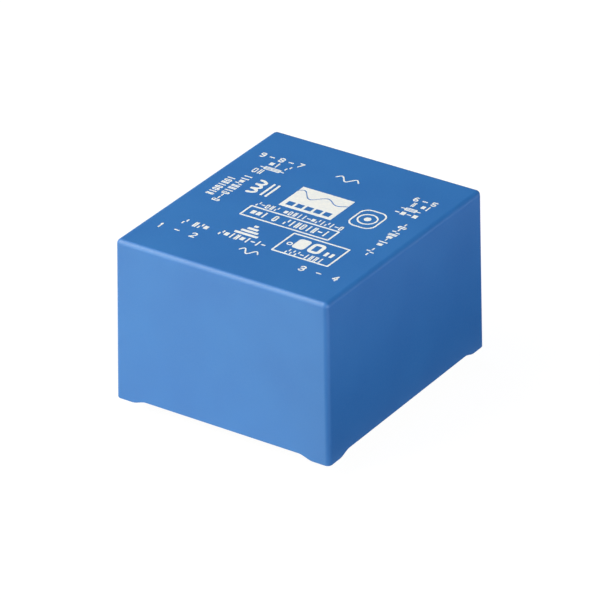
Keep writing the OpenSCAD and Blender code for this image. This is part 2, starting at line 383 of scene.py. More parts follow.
class Rule:
    """A Geometry Nodes tree with named inputs, which is run once for each set of values."""

    def __init__(self, name: str) -> None:
        """Starts an empty tree.

        Args:
            name: the tree's name.
        """
        self.tree = bpy.data.node_groups.new(name, "GeometryNodeTree")
        self.tree.interface.new_socket("Geometry", in_out="OUTPUT", socket_type="NodeSocketGeometry")
        self.entry = self.tree.nodes.new("NodeGroupInput")
        self.exit = self.tree.nodes.new("NodeGroupOutput")
        self.keys: dict[str, str] = {}

    def input(self, name: str, kind: str) -> bpy.types.NodeSocket:
        """Adds a named input, and returns its socket inside the tree."""
        item = self.tree.interface.new_socket(name, in_out="INPUT", socket_type="NodeSocket" + kind)
        self.keys[name] = item.identifier
        return next(s for s in self.entry.outputs if s.identifier == item.identifier)

    def node(self, kind: str, inputs: dict[str, object] | None = None, **settings: object) -> bpy.types.Node:
        """Adds a node.

        Args:
            kind: the node's type, without its prefix where that is GeometryNode.
            inputs: for each input socket a value, or the socket that feeds it.
            settings: the node's own properties.

        Returns:
            The node.
        """
        prefix = "" if kind.startswith(("ShaderNode", "FunctionNode")) else "GeometryNode"
        made = self.tree.nodes.new(prefix + kind)
        for key, value in settings.items():
            setattr(made, key, value)
        for key, value in (inputs or {}).items():
            socket = made.inputs[key] if isinstance(key, int) else next(
                s for s in made.inputs if s.name == key and s.enabled)
            for source in value if isinstance(value, list) else [value]:
                if isinstance(source, bpy.types.NodeSocket):
                    self.tree.links.new(source, socket)
                else:
                    socket.default_value = source
        return made

    def vector(self, x: object = 0.0, y: object = 0.0, z: object = 0.0) -> bpy.types.NodeSocket:
        """Joins three numbers or sockets into a vector."""
        return self.node("ShaderNodeCombineXYZ", {"X": x, "Y": y, "Z": z}).outputs["Vector"]

    def maths(self, operation: str, first: object, second: object = 0.0) -> bpy.types.NodeSocket:
        """Adds one sum, and returns its result."""
        return self.node("ShaderNodeMath", {0: first, 1: second}, operation=operation).outputs["Value"]

    def close(self, geometry: bpy.types.NodeSocket) -> None:
        """Ends the tree: its instances become real and take the material input."""
        real = self.node("RealizeInstances", {"Geometry": geometry})
        dressed = self.node("SetMaterial", {"Geometry": real.outputs[0],
                                            "Material": self.input("Material", "Material")})
        self.tree.links.new(dressed.outputs[0], self.exit.inputs[0])

    def run(self, name: str, **values: object) -> bpy.types.Object:
        """Runs the tree.

        Args:
            name: the new object's name.
            values: a value for each named input; an underscore stands for a space.

        Returns:
            An object with the result as its plain mesh.
        """
        made = new_object(name, bpy.data.meshes.new(name))
        made.modifiers.new("rule", "NODES").node_group = self.tree
        for key, value in values.items():
            made.modifiers[0][self.keys[key.replace("_", " ")]] = value
        made.update_tag()
        settle(made)
        return made


# ---- The cup ----


class Leg(Enum):
    """Which stretch of the rim a station stands on, near its corner."""

    ARRIVING = 0
    ROUND = 1
    LEAVING = 2


@dataclass(frozen=True)
class Station:
    """One point of the rim, from which a column of the wall rises.

    Attributes:
        corner: 0 to 3, anticlockwise from the +x +y corner.
        leg: the stretch it stands on.
        along: its distance from the sharp corner, or its angle in radians on the round one.
        order: 0 to 1, its place along the inner edge of the foot, or -1 beyond the foot.
    """

    corner: int
    leg: Leg
    along: float
    order: float


@dataclass
class Cup:
    """The drafted cup that encloses the transformer, open at the bottom and standing on four feet."""

    half_x: float
    half_y: float
    height: float
    draft_x: float = math.radians(1.0)
    draft_y: float = math.radians(0.7)
    wall: float = 1.0 * MM
    top: float = 1.5 * MM
    corner_r: float = 1.3 * MM
    edge_r: float = 1.2 * MM
    inner_r: float = 0.5 * MM
    inner_edge_r: float = 0.25 * MM
    rim_r: float = 0.22 * MM
    lip_r: float = 0.12 * MM
    foot_h: float = 1.0 * MM
    foot_flat: float = 4.5 * MM
    foot_ramp: float = 4.2 * MM
    pad_h: float = 3.0 * MM
    corner_steps: int = 12
    edge_steps: int = 10
    ramp_steps: int = 12
    rib_x: float = 26.05 * MM
    rib_y: float = 18.8 * MM
    rib_t: float = 1.2 * MM
    rib_z: float = 7.5 * MM
    stop_x: float = 13.0 * MM
    stop_len: float = 8.0 * MM
    stop_z: float = 39.45 * MM

    def half_sizes(self, z: float) -> Point:
        """Half the outside width and depth at a height."""
        return self.half_x - z * math.tan(self.draft_x), self.half_y - z * math.tan(self.draft_y)

    def stations(self) -> list[Station]:
        """Places the columns of the wall, close together where the rim curves."""
        meets = math.sqrt(self.foot_flat ** 2 - self.wall ** 2)
        ramp = [self.foot_flat + self.foot_ramp * i / self.ramp_steps for i in range(self.ramp_steps + 1)]
        straight = [self.corner_r, 2.2 * MM, 3.3 * MM, meets, *ramp, 12.0 * MM]
        inside = 2 * 3 + self.corner_steps  # steps from one end of the foot's inner edge to the other
        made = []
        for corner in range(4):
            for along in reversed(straight):
                order = 1 - straight.index(along) / 3 if along <= meets else -1
                made.append(Station(corner, Leg.ARRIVING, along, order * 3 / inside if order >= 0 else -1))
            for step in range(1, self.corner_steps):
                angle = math.pi / 2 * step / self.corner_steps
                made.append(Station(corner, Leg.ROUND, angle, (3 + step) / inside))
            for along in straight:
                order = straight.index(along) + 3 + self.corner_steps if along <= meets else -1
                made.append(Station(corner, Leg.LEAVING, along, order / inside if order >= 0 else -1))
        return made

    def lift(self, station: Station) -> float:
        """Height of the rim's lower edge at a station: nought at a foot, and foot_h between feet."""
        if station.leg is Leg.ROUND or station.along <= self.foot_flat:
            return 0.0
        share = min((station.along - self.foot_flat) / self.foot_ramp, 1.0)
        return self.foot_h * (1 - math.cos(math.pi * share)) / 2

    def place(self, station: Station, half: Point, inset: float, radius: float, z: float) -> Vector:
        """Finds a station's point on one ring of the wall.

        Args:
            station: which column.
            half: half the ring's outside width and depth, before the inset.
            inset: how far inside that outline the ring lies.
            radius: the radius of the ring's corners.
            z: the ring's height.

        Returns:
            The point.
        """
        x, y = half[0] - inset, half[1] - inset
        # the first corner is +x +y; its own axes are turned a quarter for each further corner
        ahead, across = (x, y) if station.corner % 2 == 0 else (y, x)
        if station.leg is Leg.ROUND:
            local = (ahead - radius + radius * math.cos(station.along),
                     across - radius + radius * math.sin(station.along))
        else:
            run = max(station.along - inset, radius)
            local = (ahead, across - run) if station.leg is Leg.ARRIVING else (ahead - run, across)
        turn = Matrix.Rotation(math.pi / 2 * station.corner, 3, "Z")
        return turn @ Vector((*local, z))

    def foot_edge(self, station: Station, z: float) -> Vector:
        """A station's point on the inner edge of the rim: round a foot where there is one."""
        half = self.half_sizes(0.0)
        if station.order < 0:
            return self.place(station, half, self.wall, self.inner_r, z)
        start = math.asin(self.wall / self.foot_flat)
        angle = math.pi * 1.5 - start - station.order * (math.pi / 2 - 2 * start)
        x, y = half if station.corner % 2 == 0 else (half[1], half[0])
        local = (x + self.foot_flat * math.cos(angle), y + self.foot_flat * math.sin(angle))
        turn = Matrix.Rotation(math.pi / 2 * station.corner, 3, "Z")
        return turn @ Vector((*local, z))

    def column(self, station: Station) -> list[Vector]:
        """Lists a column's points, from the middle of the top, down outside and up inside."""
        shoulder = self.height - self.edge_r
        base, upper = self.half_sizes(0.0), self.half_sizes(shoulder)
        low = self.lift(station)
        points = [self.place(station, upper, self.edge_r + 0.04 * MM, 0.05 * MM, self.height)]
        for step in range(self.edge_steps + 1):
            angle = math.pi / 2 * (1 - step / self.edge_steps)
            inset = self.edge_r * (1 - math.cos(angle))
            z = shoulder + self.edge_r * math.sin(angle)
            points.append(self.place(station, upper, inset, self.corner_r - inset, z))
        middle = 8.0 * MM
        points.append(self.place(station, self.half_sizes(middle), 0.0, self.corner_r, middle))
        for angle in (0.0, 0.4, 0.8, 1.2, math.pi / 2):
            inset = self.rim_r * (1 - math.cos(angle))
            z = low + self.rim_r * (1 - math.sin(angle))
            half = self.half_sizes(z) if angle == 0 else base
            points.append(self.place(station, half, inset, self.corner_r - inset, z))
        lip, outer = self.foot_edge(station, low), self.place(station, base, 0.0, self.corner_r, low)
        outward = (outer - lip).normalized()
        for angle in (0.0, 0.5, 1.05, math.pi / 2):
            back, rise = self.lip_r * (1 - math.sin(angle)), self.lip_r * (1 - math.cos(angle))
            points.append(lip + outward * back + Vector((0, 0, rise)))
        points.append(self.foot_edge(station, self.pad_h))
        points.append(self.place(station, self.half_sizes(self.pad_h), self.wall, self.inner_r, self.pad_h))
        ceiling = self.height - self.top
        inner = self.half_sizes(ceiling - self.inner_edge_r)
        for step in range(5):
            angle = math.pi / 2 * step / 4
            inset = self.inner_edge_r * (1 - math.cos(angle))
            z = ceiling - self.inner_edge_r * (1 - math.sin(angle))
            points.append(self.place(station, inner, self.wall + inset, self.inner_r - inset, z))
        return points

    def build(self, plastic: bpy.types.Material) -> bpy.types.Object:
        """Makes the cup, with its ribs inside, in place of the plain solid.

        Args:
            plastic: the finish.

        Returns:
            The cup.
        """
        columns = [self.column(s) for s in self.stations()]
        shape = bmesh.new()
        grid = [[shape.verts.new(p) for p in column] for column in columns]
        for here, after in zip(grid, grid[1:] + grid[:1]):
            for i in range(len(here) - 1):
                shape.faces.new((here[i], here[i + 1], after[i + 1], after[i]))
        shape.faces.new([column[0] for column in grid])
        shape.faces.new([column[-1] for column in grid])
        bmesh.ops.remove_doubles(shape, verts=shape.verts, dist=1e-6)
        bmesh.ops.recalc_face_normals(shape, faces=shape.faces)
        mesh = bpy.data.meshes.new("cup")
        shape.to_mesh(mesh)
        shape.free()
        cup = new_object("cup", mesh)
        ribs = self.ribs(plastic)
        for rib in ribs:
            weld = cup.modifiers.new("weld_ribs", "BOOLEAN")
            weld.operation, weld.solver, weld.object = "UNION", "EXACT", rib
        settle(cup)
        discard(*ribs)
        soften(cup, 50.0)
        cup.data.materials.clear()
        cup.data.materials.append(plastic)
        return cup

    def ribs(self, plastic: bpy.types.Material) -> list[bpy.types.Object]:
        """Makes the ribs that locate the bobbins: four on the long walls and four under the top."""
        rule = Rule("four_ribs")
        size = rule.input("Size", "Vector")
        spacing_x, spacing_y = rule.input("Spacing X", "Float"), rule.input("Spacing Y", "Float")
        grid = rule.node("MeshGrid", {"Size X": spacing_x, "Size Y": spacing_y, "Vertices X": 2, "Vertices Y": 2})
        bar = rule.node("MeshCube", {"Size": size})
        set_out = rule.node("InstanceOnPoints", {"Points": grid.outputs["Mesh"], "Instance": bar.outputs["Mesh"]})
        lifted = rule.node("Transform", {"Geometry": set_out.outputs[0],
                                         "Translation": rule.vector(z=rule.input("Height", "Float"))})
        rule.close(lifted.outputs[0])
        far, roof = 29.2 * MM, self.height - 0.8 * MM
        wall_size = (far - self.rib_x, self.rib_t, roof - self.rib_z)
        stop_size = (self.stop_len, self.rib_t, roof - self.stop_z)
        return [
            rule.run("wall_ribs", Size=wall_size, Spacing_X=far + self.rib_x, Spacing_Y=2 * self.rib_y,
                     Height=(roof + self.rib_z) / 2, Material=plastic),
            rule.run("top_ribs", Size=stop_size, Spacing_X=2 * self.stop_x, Spacing_Y=2 * self.rib_y,
                     Height=(roof + self.stop_z) / 2, Material=plastic),
        ]


# ---- The print ----

DIGIT_STROKES = {
    1: "15 26 20", 2: "05 16 36 45 44 00 40", 3: "05 16 36 45 44 33 13|33 42 41 30 10 01",
    4: "30 36 02 42", 5: "46 06 03 33 42 41 30 10 01", 6: "36 16 04 01 10 30 41 42 33 13 02",
    7: "06 46 10", 8: "13 04 05 16 36 45 44 33 13 02 01 10 30 41 42 33",
    9: "10 30 42 45 36 16 05 04 13 33 44",
}


@dataclass
class Stencil:
    """Collects flat ink shapes, drawn in millimetres, as thin closed solids on one plane.

    Solids that follow each other differ a little in height, so that no two upper faces share a plane.
    """

    floor: float
    ink: float
    step: float = 0.0012 * MM
    count: int = 0
    shape: bmesh.types.BMesh = field(default_factory=bmesh.new)

    def ring_of_points(self, outline: Sequence[Point], z: float) -> list[bmesh.types.BMVert]:
        """Adds an outline's points at one height."""
        return [self.shape.verts.new((x * MM, y * MM, z)) for x, y in outline]

    def solid(self, outline: Sequence[Point]) -> None:
        """Adds a filled shape.

        Args:
            outline: its points, anticlockwise.
        """
        self.count += 1
        top = self.ink + self.step * (self.count % 5)
        low, high = self.ring_of_points(outline, self.floor), self.ring_of_points(outline, top)
        self.shape.faces.new(high)
        self.shape.faces.new(low[::-1])
        for i in range(len(low)):
            j = (i + 1) % len(low)
            self.shape.faces.new((low[i], low[j], high[j], high[i]))

    def band(self, outer: Sequence[Point], inner: Sequence[Point]) -> None:
        """Adds the band between two closed outlines with as many points each."""
        rings = [self.ring_of_points(outline, z) for z in (self.floor, self.ink) for outline in (outer, inner)]
        low_out, low_in, high_out, high_in = rings
        for i in range(len(outer)):
            j = (i + 1) % len(outer)
            self.shape.faces.new((high_out[i], high_out[j], high_in[j], high_in[i]))
            self.shape.faces.new((low_in[i], low_in[j], low_out[j], low_out[i]))
            self.shape.faces.new((low_out[i], low_out[j], high_out[j], high_out[i]))
            self.shape.faces.new((high_in[i], high_in[j], low_in[j], low_in[i]))

    @staticmethod
    def rounded(area: Area, radius: float, steps: int = 4) -> list[Point]:
        """Outline of a rectangle x0, y0, x1, y1 with round corners, anticlockwise."""
        x0, y0, x1, y1 = area
        corners = ((x1, y1, 0), (x0, y1, 1), (x0, y0, 2), (x1, y0, 3))
        outline = []
        for x, y, quarter in corners:
            cx, cy = x - math.copysign(radius, x - (x0 + x1) / 2), y - math.copysign(radius, y - (y0 + y1) / 2)
            for step in range(steps + 1):
                angle = math.pi / 2 * (quarter + step / steps)
                outline.append((cx + radius * math.cos(angle), cy + radius * math.sin(angle)))
        return outline

    def field(self, area: Area, radius: float = 0.12) -> None:
        """Adds a filled rectangle."""
        self.solid(self.rounded(area, radius))

    def frame(self, area: Area, line: float, radius: float = 0.6) -> None:
        """Adds a rectangle drawn as a line, which lies inside its area."""
        x0, y0, x1, y1 = area
        inside = (x0 + line, y0 + line, x1 - line, y1 - line)
        self.band(self.rounded(area, radius), self.rounded(inside, max(radius - line, 0.05)))

    def circle(self, centre: Point, radius: float, line: float) -> None:
        """Adds a circle drawn as a line, or a disc where the line is as wide as the radius."""
        angles = [2 * math.pi * i / 32 for i in range(32)]
        outer = [(centre[0] + radius * math.cos(a), centre[1] + radius * math.sin(a)) for a in angles]
        inside = radius - line
        if inside <= 0:
            self.solid(outer)
        else:
            self.band(outer, [(centre[0] + inside * math.cos(a), centre[1] + inside * math.sin(a)) for a in angles])

    def stroke(self, path: Sequence[Point], line: float) -> None:
        """Adds a line of even width with round ends and joints along a path."""
        for start, end in zip(path, path[1:]):
            way = math.atan2(end[1] - start[1], end[0] - start[0])
            outline = []
            for centre, turn in ((end, way - math.pi / 2), (start, way + math.pi / 2)):
                outline += [(centre[0] + line / 2 * math.cos(turn + math.pi * i / 8),
                             centre[1] + line / 2 * math.sin(turn + math.pi * i / 8)) for i in range(9)]
            self.solid(outline)

    def digit(self, number: int, corner: Point, height: float, line: float) -> None:
        """Adds one plain digit.

        Args:
            number: 1 to 9.
            corner: its lower left corner.
            height: its height; it is three fifths as wide.
            line: the width of its strokes.
        """
        unit = (height - line) / 6
        for strokes in DIGIT_STROKES[number].split("|"):
            path = [(corner[0] + line / 2 + int(p[0]) * unit * 0.9, corner[1] + line / 2 + int(p[1]) * unit)
                    for p in strokes.split()]
            self.stroke(path, line)

    def numbers(self, entries: Sequence[tuple[int, float]], base: float, height: float, line: float) -> None:
        """Adds terminal numbers on one line, with a dash between neighbours.

        Args:
            entries: each number and the x of its left side.
            base: the y of their lower side.
            height: their height.
            line: the width of their strokes.
        """
        for number, x in entries:
            self.digit(number, (x, base), height, line)
        for (_, x), (_, following) in zip(entries, entries[1:]):
            middle = (x + 0.6 * height + following) / 2
            self.stroke([(middle - 0.55, base + height / 2), (middle + 0.55, base + height / 2)], line)

    def sine(self, area: Area, waves: float, line: float) -> None:
        """Adds a sine line that fills an area from side to side."""
        x0, y0, x1, y1 = area
        count = round(16 * waves)
        rise = (y1 - y0 - line) / 2
        self.stroke([(x0 + (x1 - x0) * i / count, (y0 + y1) / 2 + rise * math.sin(2 * math.pi * waves * i / count))
                     for i in range(count + 1)], line)

    def humps(self, x: float, low: float, high: float, bulge: float, line: float) -> None:
        """Adds three half rounds in a column, as the sign for a winding."""
        size = (high - low) / 3
        path = []
        for hump in range(3):
            middle = low + size * (hump + 0.5)
            path += [(x + bulge * math.cos(a), middle + size / 2 * math.sin(a))
                     for a in (math.pi * (i / 8 - 0.5) for i in range(9))]
        self.stroke([p for i, p in enumerate(path) if i == 0 or math.dist(p, path[i - 1]) > 1e-3], line)

    def fuse(self, area: Area, line: float) -> None:
        """Adds a box with a line through it, as the sign for a fuse."""
        x0, y0, x1, y1 = area
        middle = (y0 + y1) / 2
        self.frame((x0 + 1.0, y0, x1 - 1.0, y1), line, 0.1)
        self.stroke([(x0, middle), (x1, middle)], line)

    def wave_plate(self, area: Area, line: float) -> None:
        """Adds a white plate, in which a wave and a row of squares are left bare.

        Args:
            area: the plate.
            line: the width of the bare wave.
        """
        x0, y0, x1, y1 = area
        width = x1 - x0
        squares, split = 5, y0 + 4.1
        mid, rise, steps = (split + y1) / 2 + 0.1, 1.9, 48

        def height(x: float) -> float:
            """The wave's height at x: two waves that die out towards one side."""
            share = (x - x0) / width
            return mid + rise * (1 - 0.72 * share) * math.sin(4 * math.pi * share + 0.5)

        xs = [x0 + width * i / steps for i in range(steps + 1)]
        upper = [(x, height(x) + line / 2) for x in xs]
        lower = [(x, height(x) - line / 2) for x in xs]
        self.solid(upper + [(x1, y1), (x0, y1)])
        self.solid([(x0, split), (x1, split)] + lower[::-1])
        side, gap, low = 1.95, 0.62, y0 + 1.0
        self.field((x0, y0, x1, low), 0.02)
        self.field((x0, low + side, x1, split), 0.02)
        start = x0 + (width - squares * side - (squares - 1) * gap) / 2
        edges = [x0] + [start + i * (side + gap) + e for i in range(squares) for e in (0, side)] + [x1]
        for left, right in zip(edges[::2], edges[1::2]):
            self.field((left, low, right, low + side), 0.02)

    def merge(self, mesh: bpy.types.Mesh) -> None:
        """Adds a mesh made elsewhere."""
        self.shape.from_mesh(mesh)


@dataclass(frozen=True)
class MarkRow:
    """A row of small marks that stands for a line of small print.

    Attributes:
        area: the row's box x0, y0, x1, y1 in mm.
        marks: how many marks it has room for.
        line: the width of their strokes.
        upright: whether the row runs up the part instead of across it.
        seed: picks the marks and the spaces between groups.
        dense: the share of places that hold a mark.
    """

    area: Area
    marks: int
    line: float
    seed: int
    upright: bool = False
    dense: float = 0.86


@dataclass
class TopPrint:
    """The print on the top: terminal numbers, signs, frames and rows of small marks."""

    plane: float
    ink: float = 0.04 * MM
    sink: float = 0.01 * MM
    line: float = 0.36
    rows: tuple[MarkRow, ...] = (
        MarkRow((-22.2, 16.7, -14.3, 18.9), 5, 0.34, 3),
        MarkRow((-22.2, 11.9, -14.5, 14.2), 5, 0.34, 8),
        MarkRow((19.3, 17.2, 24.6, 19.3), 4, 0.34, 5),
        MarkRow((17.7, 12.1, 24.2, 14.5), 4, 0.34, 4),
        MarkRow((-25.0, -3.1, -22.9, 7.3), 8, 0.34, 11, upright=True),
        MarkRow((-22.0, -5.1, -19.8, 10.0), 11, 0.34, 19, upright=True),
        MarkRow((22.7, -8.8, 25.0, 10.6), 14, 0.34, 23, upright=True),
        MarkRow((-11.7, -1.9, 12.7, 0.1), 19, 0.34, 31, dense=0.95),
        MarkRow((-10.6, -6.3, 11.2, -3.6), 14, 0.42, 37, dense=0.92),
        MarkRow((-22.8, -18.5, 2.0, -16.2), 17, 0.40, 41),
        MarkRow((7.0, -17.7, 17.3, -15.6), 8, 0.34, 43),
    )

    def mark_rule(self) -> Rule:
        """Makes the rule for a row: places along a line, each with one of five marks, and some left bare."""
        rule = Rule("mark_row")
        count, pitch = rule.input("Count", "Int"), rule.input("Pitch", "Float")
        wide, tall = rule.input("Mark Width", "Float"), rule.input("Mark Height", "Float")
        line, thick = rule.input("Line", "Float"), rule.input("Thickness", "Float")
        dense, seed = rule.input("Dense", "Float"), rule.input("Seed", "Int")
        start, turn = rule.input("Start", "Vector"), rule.input("Turn", "Float")
        places = rule.node("MeshLine", {"Count": count, "Offset": rule.vector(x=pitch)}, mode="OFFSET")
        chance = rule.node("FunctionNodeRandomValue", {"Probability": dense, "Seed": seed}, data_type="BOOLEAN")
        bare = rule.node("FunctionNodeBooleanMath", {0: chance.outputs[3]}, operation="NOT")
        kept = rule.node("DeleteGeometry", {"Geometry": places.outputs["Mesh"], "Selection": bare.outputs[0]})
        profile = rule.node("CurvePrimitiveQuadrilateral", {"Width": line, "Height": thick})
        inner_w, inner_h = rule.maths("SUBTRACT", wide, line), rule.maths("SUBTRACT", tall, line)

        def ring(width: bpy.types.NodeSocket, height: bpy.types.NodeSocket) -> bpy.types.NodeSocket:
            """A rounded outline of that size."""
            box = rule.node("CurvePrimitiveQuadrilateral", {"Width": width, "Height": height})
            bent = rule.node("FilletCurve", {"Curve": box.outputs[0], "Count": 4,
                                             "Radius": rule.maths("MULTIPLY", width, 0.42)}, mode="POLY")
            return rule.node("CurveToMesh", {"Curve": bent.outputs[0], "Profile Curve": profile.outputs[0]}).outputs[0]

        def bar(width: object, height: object, x: object = 0.0, y: object = 0.0) -> bpy.types.NodeSocket:
            """A straight bar."""
            box = rule.node("MeshCube", {"Size": rule.vector(width, height, thick)})
            return rule.node("Transform", {"Geometry": box.outputs[0], "Translation": rule.vector(x, y)}).outputs[0]

        def off(length: bpy.types.NodeSocket, share: float) -> bpy.types.NodeSocket:
            """A share of a length."""
            return rule.maths("MULTIPLY", length, share)

        shapes = [
            [ring(inner_w, inner_h)],
            [bar(line, tall)],
            [bar(line, tall, off(inner_w, -0.38)), bar(line, tall, off(inner_w, 0.38))],
            [bar(line, off(tall, 0.45), off(inner_w, -0.38), off(tall, -0.27)),
             bar(line, off(tall, 0.45), off(inner_w, 0.38), off(tall, 0.27))],
            [bar(wide, off(tall, 0.6))],
            [bar(wide, line)],
        ]
        joined = [rule.node("JoinGeometry", {"Geometry": parts}).outputs[0] for parts in shapes]
        stock = [rule.node("GeometryToInstance", {"Geometry": mark}).outputs[0] for mark in joined]
        tray = rule.node("JoinGeometry", {"Geometry": stock})
        pick = rule.node("FunctionNodeRandomValue", {
            "Min": 0, "Max": len(shapes) - 1, "Seed": rule.maths("ADD", seed, 7.0)}, data_type="INT")
        marks = rule.node("InstanceOnPoints", {"Points": kept.outputs[0], "Instance": tray.outputs[0],
                                               "Pick Instance": True, "Instance Index": pick.outputs[2]})
        placed = rule.node("Transform", {"Geometry": marks.outputs[0], "Translation": start,
                                         "Rotation": rule.vector(z=turn)})
        rule.close(placed.outputs[0])
        return rule

    def row_mesh(self, rule: Rule, row: MarkRow, ink: bpy.types.Material) -> bpy.types.Object:
        """Runs the rule for one row."""
        x0, y0, x1, y1 = row.area
        long, tall = (y1 - y0, x1 - x0) if row.upright else (x1 - x0, y1 - y0)
        pitch = long / row.marks
        thick = self.ink + self.sink
        first = ((x0 + x1) / 2, y0 + pitch / 2) if row.upright else (x0 + pitch / 2, (y0 + y1) / 2)
        return rule.run(
            "mark_row", Count=row.marks, Pitch=pitch * MM, Mark_Width=pitch * 0.74 * MM, Mark_Height=tall * MM,
            Line=row.line * MM, Thickness=thick, Dense=row.dense, Seed=row.seed,
            Start=(first[0] * MM, first[1] * MM, self.plane - self.sink + thick / 2),
            Turn=math.pi / 2 if row.upright else 0.0, Material=ink)

    def draw(self, stencil: Stencil) -> None:
        """Draws all that isn't a row of marks."""
        line = self.line
        stencil.numbers([(9, -25.0), (8, -19.6), (7, -14.2)], 19.6, 2.2, line)
        stencil.numbers([(6, 18.4), (5, 23.3)], 19.9, 2.0, line)
        stencil.numbers([(1, -25.2), (2, -15.9)], -23.1, 2.3, line)
        stencil.numbers([(3, 14.4), (4, 23.5)], -23.1, 2.3, line)
        stencil.sine((-3.2, 19.3, 3.0, 21.7), 1.5, line)
        stencil.sine((-2.3, -23.1, 2.7, -20.7), 1.5, line)
        stencil.fuse((-21.4, 14.7, -14.9, 16.1), 0.3)
        stencil.fuse((18.3, 14.9, 23.4, 16.3), 0.3)
        stencil.humps(-17.1, 3.0, 9.4, 1.9, 0.78)
        stencil.field((-13.6, 3.0, -13.0, 9.4))
        stencil.field((-12.2, 3.0, -11.6, 9.4))
        stencil.wave_plate((-6.95, 1.3, 7.57, 12.0), 0.42)
        stencil.frame((11.1, 1.9, 18.4, 10.8), 0.42, 2.4)
        stencil.circle((14.75, 6.3), 2.6, 0.42)
        stencil.circle((14.75, 6.3), 0.9, 0.9)
        stencil.frame((-12.2, -7.6, 12.8, -2.3), 0.45, 0.35)
        stencil.frame((3.9, -18.3, 19.7, -8.4), 0.45, 0.35)
        for step, half in enumerate((0.55, 1.45, 2.35, 3.25)):
            y = -10.3 - 1.45 * step
            stencil.field((-5.05 - half, y - 0.85, -5.05 + half, y), 0.15)
        stencil.field((7.0, -14.6, 10.3, -10.0), 0.9)
        stencil.frame((11.0, -14.6, 14.5, -10.0), 0.95, 1.2)
        stencil.circle((6.0, -13.4), 0.75, 0.34)
        stencil.field((15.7, -14.3, 16.5, -12.4))
        stencil.field((17.2, -14.3, 18.0, -12.4))

    def build(self, ink: bpy.types.Material) -> bpy.types.Object:
        """Makes the whole print.

        Args:
            ink: the finish.

        Returns:
            The print, as one mesh.
        """
        stencil = Stencil(self.plane - self.sink, self.plane + self.ink)
        self.draw(stencil)
        rule = self.mark_rule()
        for row in self.rows:
            made = self.row_mesh(rule, row, ink)
            stencil.merge(made.data)
            discard(made)
        bmesh.ops.recalc_face_normals(stencil.shape, faces=stencil.shape.faces)
        mesh = bpy.data.meshes.new("white_print")
        stencil.shape.to_mesh(mesh)
        stencil.shape.free()
        mesh.materials.clear()
        mesh.materials.append(ink)
        return new_object("white_print", mesh)


# ---- Terminals and coils ----

INNER_BEND = 0.00005  # a coil's body keeps this radius at its inner corners
LAY = 1.04  # the pitch of the turns, in wire diameters

@dataclass
class Terminals:
    """The nine round tinned pins under the part, in two rows, each with a chamfered tip.

    Attributes:
        groups: for each run of pins its first x and y in mm, and its number of pins and pitch in mm.
    """

    low: float
    high: float
    radius: float = 0.5 * MM
    chamfer: float = 0.3 * MM
    tip_share: float = 0.4
    groups: tuple[tuple[float, float, int, float], ...] = (
        (-22.5, -25.0, 2, 10.0), (12.5, -25.0, 2, 10.0), (-22.5, 25.0, 3, 5.0), (17.5, 25.0, 2, 5.0))

    def rule(self) -> Rule:
        """Makes the rule: one chamfered pin, repeated along a line."""
        rule = Rule("pin_row")
        radius, length = rule.input("Radius", "Float"), rule.input("Length", "Float")
        chamfer = rule.input("Chamfer", "Float")
        count, pitch, start = rule.input("Count", "Int"), rule.input("Pitch", "Float"), rule.input("Start", "Vector")
        rod = rule.node("MeshCylinder", {"Vertices": 32, "Radius": radius,
                                         "Depth": rule.maths("SUBTRACT", length, chamfer)})
        tip = rule.node("ExtrudeMesh", {"Mesh": rod.outputs["Mesh"], "Selection": rod.outputs["Bottom"],
                                        "Offset Scale": chamfer})
        cone = rule.node("ScaleElements", {"Geometry": tip.outputs["Mesh"], "Selection": tip.outputs["Top"],
                                           "Scale": self.tip_share})
        pin = rule.node("GeometryToInstance", {"Geometry": cone.outputs[0]})
        places = rule.node("MeshLine", {"Count": count, "Start Location": start,
                                        "Offset": rule.vector(x=pitch)}, mode="OFFSET")
        pins = rule.node("InstanceOnPoints", {"Points": places.outputs["Mesh"], "Instance": pin.outputs[0]})
        rule.close(pins.outputs[0])
        return rule

    def build(self, tin: bpy.types.Material) -> bpy.types.Object:
        """Makes all the pins.

        Args:
            tin: the finish.

        Returns:
            The pins, as one mesh.
        """
        rule, shape = self.rule(), bmesh.new()
        middle = (self.low + self.chamfer + self.high) / 2
        for x, y, count, pitch in self.groups:
            row = rule.run("pin_row", Radius=self.radius, Length=self.high - self.low, Chamfer=self.chamfer,
                           Count=count, Pitch=pitch * MM, Start=(x * MM, y * MM, middle), Material=tin)
            shape.from_mesh(row.data)
            discard(row)
        bmesh.ops.recalc_face_normals(shape, faces=shape.faces)
        mesh = bpy.data.meshes.new("tinned_pins")
        shape.to_mesh(mesh)
        shape.free()
        mesh.materials.clear()
        mesh.materials.append(tin)
        made = new_object("tinned_pins", mesh)
        soften(made)
        return made


